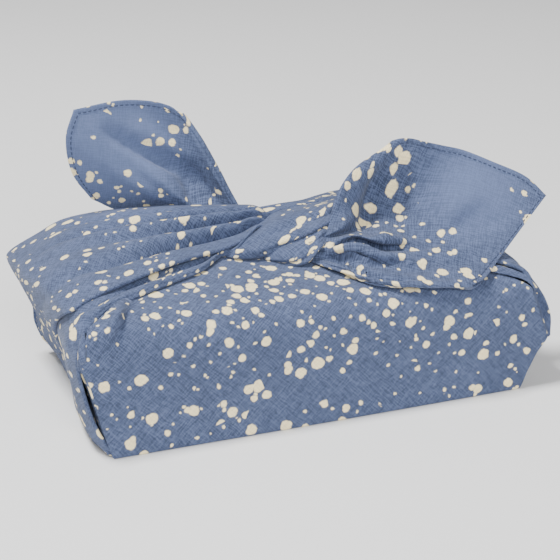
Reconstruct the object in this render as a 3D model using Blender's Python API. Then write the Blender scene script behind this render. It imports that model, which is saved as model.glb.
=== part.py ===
"""Furoshiki wrap: one hemmed square cloth tied round a flat box-shaped parcel.

The cloth is a single solid. Its front and back are wrapped flat, its two side corners
are gathered over the ends and tied on top with one half knot, and their tips stand free.
The long side runs along X, the front faces -Y, and the base rests on z = 0.
"""
from collections import namedtuple

import bmesh
import bpy
import numpy as np

MM = 0.001
HALF_LENGTH = 110.0
HALF_WIDTH = 69.5
HEIGHT = 63.0
TOP_FALL = 2.5
CLOTH = 1.7
WIDE_KEEL = (92.0, 58.0, 48.0)
NARROW_KEEL = (104.0, 60.0, 57.0)
KNOT_KEEL = (70.0, 50.0, 63.0)
KEEL_FLOOR = 14.0
KEEL_SHARE = 0.85
PART = "furoshiki_cloth"
COLOUR = (0.115, 0.185, 0.365, 1.0)

# The wrapped box, level by level: how far the outline is drawn in, how far each corner of
# the front and back cloth stands out past the ends, and how far the long sides belly.
Level = namedtuple("Level", "z inset front_left front_right back_left back_right belly")
BODY = (
    Level(0.0, 0.2, 0.5, 0.5, -5.0, 0.5, 0.6),
    Level(1.2, -0.6, 1.5, 1.5, -4.0, 1.5, 0.6),
    Level(9.0, 0.0, 4.5, 6.0, 3.5, 4.5, 0.6),
    Level(20.0, 0.0, 7.5, 11.5, 7.5, 7.5, 1.0),
    Level(29.0, 0.0, 10.0, 17.5, 8.0, 10.0, 1.2),
    Level(38.0, 0.0, 12.5, 15.5, 10.5, 13.0, 1.2),
    Level(47.0, 0.0, 15.5, 12.0, 14.0, 16.0, 0.9),
    Level(53.0, 0.3, 16.5, 9.5, 17.0, 12.0, 0.5),
    Level(58.5, 1.8, 12.0, 6.5, 15.0, 9.0, 0.0),
    Level(62.5, 5.2, 8.5, 4.5, 10.0, 6.0, 0.0),
    Level(65.2, 12.0, 5.0, 2.0, 5.0, 2.0, 0.0),
    Level(67.6, 26.0, 0.0, 0.0, 0.0, 0.0, 0.0),
    Level(70.6, 44.0, 0.0, 0.0, 0.0, 0.0, 0.0),
    Level(72.4, 60.0, 0.0, 0.0, 0.0, 0.0, 0.0),
)

# Folds that lie over the box. Each row is one section across the fold: its near edge, two
# points over its back and its far edge, from the base of the end up to the knot.
Across = namedtuple("Across", "near low high far")
PANEL_LEFT = (
    Across((-109, 22, 1.2), (-108.5, 38, 1.2), (-106, 57, 1.4), (-103, 69, 3)),
    Across((-111, 19, 13), (-111, 36, 13), (-113.5, 56, 13), (-114.5, 70, 13)),
    Across((-117, 6, 28), (-117, 28, 28), (-117, 52, 27), (-117, 70, 27)),
    Across((-123, -7, 42), (-124, 18, 43), (-124, 46, 43), (-123, 71, 42)),
    Across((-126, -22, 55), (-128, 6, 57), (-130, 38, 58), (-130, 69, 58)),
    Across((-124, -44, 69), (-127, -8, 70), (-129, 32, 68), (-128, 69, 64)),
    Across((-110, -41, 74), (-114, -6, 78), (-115, 34, 77), (-113, 68, 72)),
    Across((-96, -37, 76.5), (-99, -5, 80.5), (-101, 34, 82), (-99, 66, 79)),
    Across((-80, -30, 78), (-82, -3, 82.5), (-84, 30, 86), (-80, 60, 83)),
    Across((-65, -24, 79), (-66, -1, 84), (-66, 26, 88), (-62, 53, 85)),
    Across((-50, -18, 79), (-50, 1, 84), (-48, 22, 89.5), (-44, 44, 87)),
    Across((-35, -13, 79), (-34, 1, 85), (-31, 17, 91), (-27, 34, 88)),
    Across((-23, -11, 82), (-22, 0, 86), (-18, 11, 92), (-13, 24, 89.5)),
    Across((-11, -4, 86), (-10, 2, 87), (-8, 9, 91.5), (-4, 17, 89.5)),
    Across((0, 0, 80), (0, 3, 83), (1, 8, 85), (3, 14, 83)),
)
STRIP_LEFT = (
    Across((-109, -69, 1.2), (-114, -64, 1.2), (-116.5, -34, 1.2), (-107, 24, 1.2)),
    Across((-118, -66, 9), (-120.5, -52, 9), (-118, -20, 10), (-108, 25, 12)),
    Across((-123, -65, 19), (-123, -50, 18), (-119, -22, 20), (-111, 18, 22)),
    Across((-126, -65, 31), (-126, -50, 32), (-121, -28, 32), (-114, 8, 34)),
    Across((-127, -64, 44), (-128, -50, 46), (-124, -32, 48), (-117, -4, 48)),
    Across((-126, -64, 55), (-128, -52, 58), (-124, -38, 60), (-118, -16, 60)),
    Across((-122, -63, 63), (-123, -55, 67), (-120, -47, 69), (-115, -34, 68)),
    Across((-115, -59, 67), (-115, -54, 71), (-111, -46, 72), (-106, -33, 70)),
    Across((-105, -49, 68), (-104, -47, 71.5), (-100, -41, 73), (-96, -26, 71)),
    Across((-93, -38, 68), (-91, -37, 71.5), (-87, -32, 73.5), (-83, -18, 72)),
    Across((-67, -26, 68), (-66, -26, 71.5), (-63, -21, 73.5), (-59, -8, 73)),
    Across((-48, -17, 69), (-47, -18, 72.5), (-45, -14, 74.5), (-41, -3, 74)),
    Across((-33, -7, 70), (-32, -9, 73), (-30, -7, 75), (-26, 2, 75)),
)
FLAP_LEFT = (
    Across((-122.5, -69, 47), (-124, -70.5, 51), (-124, -70, 53), (-123.5, -67, 54)),
    Across((-113, -68.5, 51), (-119, -72.5, 58), (-121.5, -71.5, 60.5), (-123, -67, 60.5)),
    Across((-105, -67.5, 55), (-113.5, -72, 63.5), (-117, -70, 66), (-120, -64, 65.5)),
    Across((-98, -64, 58), (-108, -68.5, 67.5), (-112, -66, 70), (-114.5, -60, 69)),
    Across((-91, -58, 61), (-101.5, -61, 69.5), (-105, -58, 72), (-107, -54, 71.5)),
    Across((-84, -50, 64), (-94.5, -52, 69.5), (-98, -51, 71.5), (-99.5, -48, 71)),
)
LENS_LEFT = (
    Across((-110, -68.5, 1), (-112, -67, 1), (-111, -64, 1), (-106, -60, 1)),
    Across((-117, -67, 12), (-119, -65.5, 13), (-117, -63, 13), (-108, -58, 13)),
    Across((-122, -67, 28), (-124, -65.5, 28), (-122, -63, 28), (-110, -58, 28)),
    Across((-125, -67, 43), (-127, -65.5, 43), (-125, -63, 43), (-112, -58, 43)),
    Across((-124, -67, 54), (-126, -65.5, 55), (-123, -62, 55), (-112, -57, 54)),
    Across((-118, -65, 62), (-120, -62, 63), (-117, -58, 64), (-110, -52, 62)),
)

PANEL_RIGHT = (
    Across((108, -66, 1.5), (112, -40, 1.5), (112, 30, 1.5), (107, 68, 1.5)),
    Across((116, -66, 14), (119, -40, 14), (119, 30, 14), (114, 70, 14)),
    Across((132, -63, 27), (128, -40, 28), (122, 30, 28), (117, 70, 28)),
    Across((133, -61, 36), (129, -40, 40), (124, 30, 42), (122, 70, 42)),
    Across((127.5, -63, 48), (126, -40, 52), (125, 28, 55), (126, 69, 54)),
    Across((118.5, -66, 59), (121, -42, 61), (121, 24, 67), (121, 68, 63)),
    Across((115, -61, 63.5), (113, -40, 68), (109, 18, 75), (108, 66, 71)),
    Across((98, -52, 68), (96, -32, 75), (95, 16, 82), (93, 62, 77)),
    Across((82, -43, 69), (79, -25, 76), (78, 16, 83), (76, 56, 79)),
    Across((64, -34, 70), (61, -18, 77), (60, 16, 85), (57, 48, 83)),
    Across((48, -25, 71), (45, -12, 79), (43, 15, 87), (41, 38, 85)),
    Across((34, -16, 72), (31, -6, 79), (28, 14, 86), (26, 28, 86.5)),
    Across((22, -9, 72), (19, 0, 78), (15, 13, 85), (12, 25, 87)),
    Across((8, -6, 70), (6, 2, 76), (1, 13, 83), (-4, 24, 86)),
)

# The strand that crosses over the middle of the knot, from under the left gather up to the
# right, then the roll of the other strand that comes out below it.
BAND = (
    Across((-40, 4, 68), (-38, 0, 74), (-30, 4, 79), (-20, 12, 80)),
    Across((-33, -7, 70.5), (-32, -10, 75), (-25, -5, 79), (-14, 5, 81)),
    Across((-28, -14, 71), (-28, -16, 75.5), (-22, -10, 81), (-12, 3, 83)),
    Across((-19, -18, 71), (-20, -19.5, 76.5), (-14, -11, 83.5), (-5, 5, 86)),
    Across((-11, -18, 72), (-12, -19.5, 78), (-7, -9, 86.5), (1, 9, 87.5)),
    Across((-3, -18.5, 74.5), (-4, -19.5, 80.5), (2, -8, 89), (9, 11, 88.5)),
    Across((7, -20, 77.5), (7, -20.5, 83.5), (13, -7, 91), (21, 14, 88.5)),
    Across((19, -18, 81), (20, -17.5, 86.5), (27, -4, 92), (36, 17, 88.5)),
    Across((32, -10, 82), (34, -8.5, 87.5), (42, 5, 92), (51, 23, 88)),
    Across((46, 4, 80), (49, 6, 84), (55, 15, 88), (61, 27, 85)),
)
ROLL = (
    Across((-14, -16, 70), (-14, -18, 73), (-10, -14, 77), (-4, -6, 78)),
    Across((-5, -25, 71), (-5, -27, 74.5), (-2, -22, 79), (3, -12, 80)),
    Across((1, -28, 71.5), (1, -29.5, 75), (5, -24.5, 80.5), (10, -13, 82)),
    Across((7, -28, 73.5), (7, -29, 77), (11, -24.5, 82), (16, -14, 84)),
    Across((13, -26, 75.5), (13, -27, 79), (17, -22, 84), (22, -13, 85)),
    Across((20, -22, 75), (20, -23, 78), (23, -19, 82.5), (27, -12, 82)),
)

# The free ends. Each row is one fold that runs from the knot out to the edge of the cloth.
Rib = namedtuple("Rib", "root near middle far rim")
EAR_RIGHT = (
    Rib((12, -18, 79), (22.5, -15, 86), (30, -12, 100.5), (41.5, -9, 113.5), (61.5, -8, 125)),
    Rib((14, -20, 80), (26.5, -18, 87), (35.5, -15, 98), (47, -12, 111.5), (65, -12, 127)),
    Rib((16, -21, 81), (31.5, -16, 83.5), (46.5, -6, 90.5), (56, -4, 105), (70.5, -14, 127)),
    Rib((18, -22, 81), (35.5, -14, 79), (54, 2, 76.5), (57.5, 0, 91.5), (76.5, -17, 125.5)),
    Rib((19.5, -24, 80), (32, -26, 83.5), (44, -31, 82.5), (58.5, -24, 90.5), (86, -19, 123)),
    Rib((20, -26, 79), (31, -31, 83), (46, -37, 80.5), (67, -33, 86), (97.5, -22, 120)),
    Rib((19, -27, 77.5), (32, -29.5, 79.5), (49, -35.5, 76.5), (75.5, -37, 81), (112.5, -27, 113.5)),
    Rib((17.5, -28.5, 76.5), (27.5, -38, 80), (45, -45, 76), (81, -42, 79.5), (130, -32, 105)),
    Rib((15.5, -29, 75.5), (26, -40, 76.5), (44, -49, 73), (86, -46, 77), (140.5, -37, 94.5)),
    Rib((13.5, -29, 74), (26, -39, 73.5), (43.5, -51, 70.5), (85.5, -52, 71), (124, -44, 82.5)),
    Rib((11, -28.5, 72.5), (20.5, -44, 72), (39, -58, 69.5), (75.5, -60, 67.5), (105.5, -53, 70)),
    Rib((8, -27, 71), (17, -43, 69.5), (31.5, -60, 68.5), (56, -69, 66), (83, -71, 63)),
)
EAR_LEFT = (
    Rib((-6, 24, 78.5), (-14, 31, 90.5), (-19, 36, 104), (-25, 42, 118), (-35, 48, 134)),
    Rib((-10, 26, 78), (-17, 34, 93), (-23.5, 40, 106.5), (-30.5, 46, 121), (-40, 52, 139)),
    Rib((-14.5, 28, 78), (-21.5, 41, 91), (-30, 49, 106), (-40.5, 55, 121), (-50.5, 57, 142)),
    Rib((-18, 30, 78), (-28, 41, 91.5), (-38.5, 50, 105), (-51.5, 56, 119), (-67.5, 60, 143)),
    Rib((-22, 32, 78), (-37, 38, 89.5), (-51, 44, 102.5), (-67.5, 53, 117.5), (-91, 61, 140)),
    Rib((-26, 35, 77), (-41.5, 43, 86.5), (-57, 47, 94.5), (-74, 54, 106.5), (-96.5, 59, 125)),
    Rib((-30, 39, 76), (-44.5, 49, 82), (-58.5, 55, 86.5), (-75, 60, 93.5), (-93.5, 61, 105.5)),
    Rib((-34, 44, 75), (-46, 55, 77), (-58, 61, 79), (-70, 64, 81), (-82, 66, 88)),
)

# Pleats that run along a fold towards the knot: where each crease lies across the fold at
# the end of the parcel and at the knot, and how deep it is at both.
Pleat = namedtuple("Pleat", "end_share knot_share end_depth knot_depth")
PLEATS_LEFT = (
    Pleat(0.22, 0.24, 0.0, 4.0),
    Pleat(0.42, 0.44, 0.0, 4.5),
    Pleat(0.60, 0.62, 0.0, 4.5),
    Pleat(0.80, 0.80, 0.0, 3.5),
)
PLEATS_RIGHT = (
    Pleat(0.20, 0.26, 0.8, 2.8),
    Pleat(0.42, 0.50, 0.0, 2.8),
    Pleat(0.72, 0.75, 0.0, 2.8),
)
PLEATS_BAND = (
    Pleat(0.62, 0.52, 0.6, 1.6),
)
PLAIN = ()
PLEAT_RISE = 0.42


def along(points, count):
    """Points at even steps on a smooth curve through the given ones."""
    given = np.asarray(points, float)
    padded = np.vstack([2 * given[0] - given[1], given, 2 * given[-1] - given[-2]])
    steps = np.linspace(0.0, len(given) - 1.0, count)
    cell = np.minimum(steps.astype(int), len(given) - 2)
    t = (steps - cell)[:, None]
    a, b, c, d = (padded[cell + k] for k in range(4))
    return 0.5 * (2 * b + (c - a) * t + (2 * a - 5 * b + 4 * c - d) * t**2
                  + (3 * b - a - 3 * c + d) * t**3)


def grid(rows, across, down):
    """A smooth grid of points through a table of sections, down by across."""
    fine = np.array([along(row, across) for row in rows])
    return np.stack([along(fine[:, k], down) for k in range(across)], axis=1)


def keel_of(point, reach):
    """The point inside the parcel that lies under a point of the cloth."""
    low = (-reach[0], -reach[1], KEEL_FLOOR)
    inside = np.clip(point, low, reach)
    return point + (inside - point) * KEEL_SHARE


def pleated(rows, pleats, samples, down):
    """A fold's grid with creases: the samples across gather at every pleat."""
    smooth = grid(rows, 97, down)
    dense = np.linspace(0.0, 1.0, 97)
    marks = np.linspace(0.0, 1.0, samples + 1)
    out = []
    for k, section in enumerate(smooth):
        share = k / (down - 1.0)
        gather = np.clip((share - PLEAT_RISE) / (0.9 - PLEAT_RISE), 0.0, 1.0)
        stops = [0.0]
        stops += [p.end_share + (p.knot_share - p.end_share) * share for p in pleats]
        stops.append(1.0)
        depths = [0.0] + [p.end_depth + (p.knot_depth - p.end_depth) * gather for p in pleats]
        depths.append(0.0)
        places = []
        sinks = []
        for left in range(len(stops) - 1):
            for mark in marks[:-1]:
                places.append(stops[left] + (stops[left + 1] - stops[left]) * mark)
                fall = depths[left] * (1.0 - mark) ** 2.0 + depths[left + 1] * mark ** 3.0
                sinks.append(fall)
        places.append(1.0)
        sinks.append(0.0)
        line = np.column_stack([np.interp(places, dense, section[:, axis]) for axis in range(3)])
        inward = keel_of(section.mean(axis=0), WIDE_KEEL) - line
        inward /= np.linalg.norm(inward, axis=1, keepdims=True)
        out.append(line + inward * np.array(sinks)[:, None])
    return np.array(out)


def fold_rings(rows, pleats, samples, down, reach):
    """Closed rings for a fold of cloth that lies on the parcel."""
    return [np.vstack([section, keel_of(section[-1], reach), keel_of(section[0], reach)])
            for section in pleated(rows, pleats, samples, down)]


def body_rings(per_side, per_end):
    """Closed outlines of the wrapped box, from the base to the middle of the top."""
    rings = []
    for level in BODY:
        half_y = HALF_WIDTH - level.inset
        half_x = HALF_LENGTH - level.inset
        corners = {
            "front_left": (-half_x - level.front_left, -half_y),
            "front_right": (half_x + level.front_right, -half_y),
            "back_right": (half_x + level.back_right, half_y),
            "back_left": (-half_x - level.back_left, half_y),
        }
        ring = []
        for start, end, belly in (("front_left", "front_right", -level.belly),
                                  ("back_right", "back_left", level.belly)):
            first = np.array(corners[start])
            last = np.array(corners[end])
            for share in np.linspace(0.0, 1.0, per_side):
                x, y = first + (last - first) * share
                ring.append((x, y + belly * np.sin(np.pi * share)))
            side = np.sign(last[0])
            pulled = min(abs(last[0]) - half_x, 0.0)
            for share in np.linspace(0.0, 1.0, per_end):
                end_x = half_x + 1.0 + pulled * (1.0 - share) ** 2
                y = last[1] * (1.0 - 2.0 * share) * 0.93
                ring.append((side * end_x, y))
        outline = np.array(ring)
        tilt = 1.0 - TOP_FALL / HEIGHT * outline[:, 0] / HALF_LENGTH
        height = level.z * tilt
        rings.append(np.column_stack([outline, height]))
    return rings


def skin(rings):
    """Vertices and faces of a loft through closed rings, closed at both ends."""
    size = len(rings[0])
    points = [tuple(p * MM) for ring in rings for p in ring]
    faces = []
    for row in range(len(rings) - 1):
        for k in range(size):
            a = row * size + k
            b = row * size + (k + 1) % size
            faces.append((a, b, b + size, a + size))
    for row, turned in ((0, True), (len(rings) - 1, False)):
        middle = len(points)
        points.append(tuple(rings[row].mean(axis=0) * MM))
        for k in range(size):
            a = row * size + k
            b = row * size + (k + 1) % size
            faces.append((b, a, middle) if turned else (a, b, middle))
    return points, faces


def sheet(rows, across, down):
    """Vertices and faces of a thin free end, with a face on each side and a rim."""
    face = grid(rows, across, down)
    normal = np.cross(np.gradient(face, axis=1), np.gradient(face, axis=0))
    normal /= np.linalg.norm(normal, axis=2, keepdims=True)
    sides = [face + normal * CLOTH / 2, face - normal * CLOTH / 2]
    points = [tuple(p * MM) for side in sides for p in side.reshape(-1, 3)]
    shift = across * down
    faces = []
    for row in range(down - 1):
        for k in range(across - 1):
            a = row * across + k
            faces.append((a, a + 1, a + 1 + across, a + across))
            faces.append((a + shift, a + across + shift, a + across + 1 + shift, a + 1 + shift))
    rim = [k for k in range(across)]
    rim += [row * across + across - 1 for row in range(1, down)]
    rim += [(down - 1) * across + k for k in range(across - 2, -1, -1)]
    rim += [row * across for row in range(down - 2, 0, -1)]
    for k, a in enumerate(rim):
        b = rim[(k + 1) % len(rim)]
        faces.append((b, a, a + shift, b + shift))
    return points, faces


def add_object(name, points, faces, collection, material):
    """One mesh object made of the given vertices and faces."""
    mesh = bpy.data.meshes.new(name)
    mesh.from_pydata(points, [], faces)
    work = bmesh.new()
    work.from_mesh(mesh)
    bmesh.ops.recalc_face_normals(work, faces=work.faces)
    work.to_mesh(mesh)
    work.free()
    obj = bpy.data.objects.new(name, mesh)
    collection.objects.link(obj)
    mesh.materials.append(material)
    return obj


def unite(target, tools):
    """Unite the target with everything in the collection of tools at once."""
    for tool in tools.objects:
        tool.hide_render = True
        tool.display_type = "WIRE"
    union = target.modifiers.new("folds", "BOOLEAN")
    union.operation = "UNION"
    union.solver = "EXACT"
    union.operand_type = "COLLECTION"
    union.use_self = True
    union.collection = tools


def main():
    for obj in list(bpy.data.objects):
        bpy.data.objects.remove(obj, do_unlink=True)
    part = bpy.data.collections.new("furoshiki wrap")
    tools = bpy.data.collections.new("tools")
    for collection in (part, tools):
        bpy.context.scene.collection.children.link(collection)
    tools.hide_render = True
    material = bpy.data.materials.new("blue_cloth")
    material.use_nodes = True
    shader = material.node_tree.nodes["Principled BSDF"]
    shader.inputs["Base Color"].default_value = COLOUR
    shader.inputs["Roughness"].default_value = 0.9
    shader.inputs["Metallic"].default_value = 0.0
    cloth = add_object(PART, *skin(body_rings(13, 7)), part, material)
    for name, rows, pleats, samples, down, reach in (
        ("panel left", PANEL_LEFT, PLEATS_LEFT, 3, 29, WIDE_KEEL),
        ("strip left", STRIP_LEFT, PLAIN, 6, 27, NARROW_KEEL),
        ("lens left", LENS_LEFT, PLAIN, 5, 11, NARROW_KEEL),
        ("flap left", FLAP_LEFT, PLAIN, 5, 11, NARROW_KEEL),
        ("panel right", PANEL_RIGHT, PLEATS_RIGHT, 3, 27, WIDE_KEEL),
        ("band", BAND, PLEATS_BAND, 5, 19, KNOT_KEEL),
        ("roll", ROLL, PLAIN, 7, 12, KNOT_KEEL),
    ):
        points, faces = skin(fold_rings(rows, pleats, samples, down, reach))
        add_object(name, points, faces, tools, material)
    for name, rows, down in (("ear right", EAR_RIGHT, 23), ("ear left", EAR_LEFT, 15)):
        points, faces = sheet(rows, 13, down)
        add_object(name, points, faces, tools, material)
    unite(cloth, tools)


main()
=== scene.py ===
"""Furoshiki wrap: the fine cloth of a tied wrapping cloth, its stitching and a plain studio.

The cloth is one sheet of many folds. Every fold is a smooth surface through a short table of
sections, in millimetres, on the plain solid that it stands for. The long side of the parcel
runs along X, its front faces -Y, and it rests on z = 0.
"""
import math
from collections import namedtuple

import bmesh
import bpy
import numpy as np
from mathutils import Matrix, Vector


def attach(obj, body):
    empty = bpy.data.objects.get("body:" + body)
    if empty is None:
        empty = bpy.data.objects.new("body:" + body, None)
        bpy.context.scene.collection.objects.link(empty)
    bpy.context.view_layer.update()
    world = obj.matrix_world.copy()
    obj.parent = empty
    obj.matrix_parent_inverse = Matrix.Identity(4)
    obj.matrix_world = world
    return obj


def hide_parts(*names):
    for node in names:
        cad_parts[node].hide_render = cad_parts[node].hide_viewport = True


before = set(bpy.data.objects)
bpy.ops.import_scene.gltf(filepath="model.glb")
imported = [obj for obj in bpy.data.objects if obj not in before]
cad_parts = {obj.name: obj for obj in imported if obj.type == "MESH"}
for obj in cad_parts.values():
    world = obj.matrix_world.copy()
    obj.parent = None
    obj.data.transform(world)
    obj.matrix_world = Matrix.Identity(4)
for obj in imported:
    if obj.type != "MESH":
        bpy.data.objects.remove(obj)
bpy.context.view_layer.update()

bl_info = {
    "name": "Furoshiki wrap",
    "version": (1, 0, 0),
    "blender": (4, 5, 0),
    "location": "View3D > Sidebar > Wrap",
    "description": "A spattered wrapping cloth tied round a flat box",
    "category": "Add Mesh",
}

MM = 0.001
NODE = "furoshiki_cloth"
HALF_ROOT = math.sqrt(0.5)

# How finely each part of the cloth is divided: columns along one side, one end and one
# corner fold of the box, rows of its foot and its walls, then the steps between two ribs of
# a free end, along a rib and over the hem.
PER_SIDE, PER_END, PER_TURN = 96, 26, 6
FOOT_ROWS, WALL_ROWS = 8, 66
RIB_STEPS, RUN_STEPS, HEM_STEPS = 8, 76, 8

# How far an edge runs back under its own fold, how close two points are before they become
# one, and a point in the parcel that the right side of every fold looks away from.
TURN_UNDER = 16.0
WELD = 0.002
PARCEL_MIDDLE = np.array([0.0, 0.0, 30.0])

# Places on the flat cloth, in millimetres along its diagonals: where the back of the box and
# the hidden layers start, how far the base reaches, and the cloth taken up by a corner step.
BACK_START = 500.0
FLAP_START = 200.0
BASE_REACH = 70.0
CORNER_TAKE = 0.4

# The wrapped box, level by level: how far the outline is drawn in, how far each corner of
# the front and back cloth stands out past the ends, and how far the long sides belly.
Level = namedtuple("Level", "z inset front_left front_right back_left back_right belly")
BODY = (
    Level(0.0, 0.2, 0.5, 0.5, -5.0, 0.5, 0.6),
    Level(1.2, -0.6, 1.5, 1.5, -4.0, 1.5, 0.6),
    Level(9.0, 0.0, 4.5, 6.0, 3.5, 4.5, 0.6),
    Level(20.0, 0.0, 7.5, 11.5, 7.5, 7.5, 1.0),
    Level(29.0, 0.0, 10.0, 17.5, 8.0, 10.0, 1.2),
    Level(38.0, 0.0, 12.5, 15.5, 10.5, 13.0, 1.2),
    Level(47.0, 0.0, 15.5, 12.0, 14.0, 16.0, 0.9),
    Level(53.0, 0.3, 16.8, 9.5, 17.0, 12.0, 0.5),
    Level(58.5, 1.8, 14.0, 8.5, 15.0, 9.0, 0.0),
    Level(62.5, 5.2, 15.0, 5.0, 10.0, 6.0, 0.0),
    Level(65.2, 12.0, 13.0, 2.0, 5.0, 2.0, 0.0),
    Level(67.6, 26.0, 9.5, 0.0, 0.0, 0.0, 0.0),
    Level(70.6, 44.0, 4.0, 0.0, 0.0, 0.0, 0.0),
    Level(72.4, 60.0, 0.0, 0.0, 0.0, 0.0, 0.0),
)
TOP_LEVELS = BODY[7:]

# The rings of the closed base, as shares of the way from its middle to its edge.
BASE_SHARES = (0.02, 0.35, 0.7, 0.95)

# A soft corner of the front cloth that stands up beside the strip at the left end: where its
# ridge runs and how high it stands, level by level.
Ridge = namedtuple("Ridge", "z x height")
CORNER_RIDGE = (
    Ridge(48.0, -111.0, 0.0),
    Ridge(54.0, -110.8, 1.2),
    Ridge(57.0, -110.3, 2.8),
    Ridge(59.0, -110.0, 4.2),
    Ridge(62.5, -107.0, 6.0),
    Ridge(65.2, -102.5, 6.0),
    Ridge(67.0, -96.5, 3.6),
    Ridge(69.0, -88.0, 1.4),
    Ridge(71.0, -80.0, 0.0),
)

# The hollow at the right end, between the front cloth's edge and the tuck behind it: where the
# edge runs and how deep the cloth goes in beyond it, in the same columns.
CORNER_HOLLOW = (
    Ridge(25.0, 128.6, 0.0),
    Ridge(31.0, 126.8, 3.2),
    Ridge(38.0, 124.2, 5.8),
    Ridge(46.0, 121.0, 6.0),
    Ridge(53.0, 118.2, 4.6),
    Ridge(59.0, 116.0, 0.0),
)

# Folds that lie over the box. Each row is one section across the fold: its near edge, two
# points over its back and its far edge, from the base of the end up to the knot. At the left
# end they are the broad gather, the strip in front of it and the fold in the hollow between
# the strip and the front cloth. At the right end they are the gather and its tuck.
Across = namedtuple("Across", "near low high far")
PANEL_LEFT = (
    Across((-109, 22, 1.2), (-108.5, 38, 1.2), (-106, 57, 1.4), (-103, 69, 3)),
    Across((-111, 19, 13), (-111, 36, 13), (-113.5, 56, 13), (-114.5, 70, 13)),
    Across((-117, 6, 28), (-117, 28, 28), (-117, 52, 27), (-117, 70, 27)),
    Across((-123, -7, 42), (-124, 18, 43), (-124, 46, 43), (-123, 71, 42)),
    Across((-126, -22, 55), (-128, 6, 57), (-130, 38, 58), (-130, 69, 58)),
    Across((-124, -44, 69), (-127, -8, 70), (-129, 32, 68), (-128, 69, 64)),
    Across((-110, -41, 74), (-114, -6, 78), (-115, 34, 77), (-113, 68, 72)),
    Across((-96, -37, 76.5), (-99, -5, 80.5), (-101, 34, 82), (-99, 66, 79)),
    Across((-80, -30, 78), (-82, -3, 82.5), (-84, 30, 86), (-80, 60, 83)),
    Across((-65, -24, 79), (-66, -1, 84), (-66, 26, 88), (-62, 53, 85)),
    Across((-50, -18, 79), (-50, 1, 84), (-48, 22, 89.5), (-44, 44, 87)),
    Across((-35, -13, 79), (-34, 1, 85), (-31, 17, 91), (-27, 34, 88)),
    Across((-23, -11, 82), (-22, 0, 86), (-18, 11, 92), (-13, 24, 89.5)),
    Across((-11, -4, 86), (-10, 2, 87), (-8, 9, 91.5), (-4, 17, 89.5)),
    Across((0, 0, 80), (0, 3, 83), (1, 8, 85), (3, 14, 83)),
)
STRIP_LEFT = (
    Across((-110, -68.5, 1.2), (-114, -64, 1.2), (-116.5, -34, 1.2), (-107, 24, 1.2)),
    Across((-116, -67, 9), (-120, -56, 9), (-118, -20, 10), (-108, 25, 12)),
    Across((-120.5, -67, 19), (-123, -52, 18), (-119.5, -22, 20), (-111, 18, 22)),
    Across((-123.8, -66.5, 31), (-126, -52, 32), (-122, -28, 32), (-117, 8, 34)),
    Across((-126.2, -66, 44), (-128.3, -52, 46), (-126, -32, 48), (-122, -6, 48)),
    Across((-126, -65, 54), (-128, -53, 58), (-125.5, -41, 60), (-121, -19, 61)),
    Across((-122, -63, 62), (-123, -55, 67), (-121, -47, 69), (-118, -35, 69)),
    Across((-115.5, -58.5, 66), (-115, -54, 70.5), (-112, -46, 72), (-108, -33, 71.5)),
    Across((-105, -51, 70.4), (-104, -48, 72.8), (-100, -40, 73.9), (-96, -26, 72)),
    Across((-93.5, -45, 70.5), (-92.5, -42, 73.6), (-88, -33, 75), (-84, -19, 73)),
    Across((-68.5, -34.5, 72.2), (-67.5, -32, 75), (-63, -23, 76.4), (-59, -9, 74)),
    Across((-50, -26, 73.2), (-49, -23.5, 75.8), (-45, -15, 77), (-41, -4, 75)),
    Across((-35, -12.5, 74.4), (-34, -10.5, 77.2), (-31, -5, 78.4), (-27, 2, 77)),
    Across((-29.5, -13, 74.5), (-28.5, -12.5, 78), (-26.5, -9, 80.5), (-23, -3, 80)),
    Across((-24.8, -12.5, 78), (-24, -12, 81), (-22.5, -9, 83.5), (-19, -3, 82.5)),
    Across((-20.5, -10, 80.5), (-19.8, -9.6, 83), (-18, -7, 85), (-15.5, -2, 84)),
    Across((-16, -6.5, 82.5), (-15.4, -6, 84.6), (-14, -4, 85.2), (-12, -1, 84)),
)
LENS_LEFT = (
    Across((-111.4, -68.6, 1), (-111.6, -68.1, 1), (-111.4, -66.6, 1), (-110, -62, 1)),
    Across((-113.2, -67.3, 12), (-113.8, -66.1, 12), (-115.4, -64.2, 12), (-113, -58, 13)),
    Across((-115.3, -66.6, 24), (-116.3, -65.2, 24), (-118.6, -62.9, 24.5), (-115, -57, 25)),
    Across((-117.6, -65.8, 33), (-118.6, -64.7, 33), (-121, -62.8, 34), (-117, -56, 35)),
    Across((-121, -64.4, 42), (-122, -64.2, 42), (-124, -63.4, 43), (-120, -57, 43)),
    Across((-124, -67, 49), (-125.2, -67.6, 49.5), (-126.6, -66.8, 50), (-123, -60, 50)),
    Across((-122.6, -69.8, 53), (-124.4, -71.8, 54), (-126.8, -70.5, 55), (-125, -64, 56)),
    Across((-122, -69, 57.5), (-123.6, -71, 58.5), (-125.8, -69, 60), (-124, -63, 60.5)),
    Across((-121.4, -66.5, 61.5), (-122.2, -67.5, 62.5), (-123.6, -66, 64), (-122, -61, 64)),
    Across((-121, -63.5, 64), (-121.4, -64, 65), (-122, -63, 66), (-121, -60, 66)),
)
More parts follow.
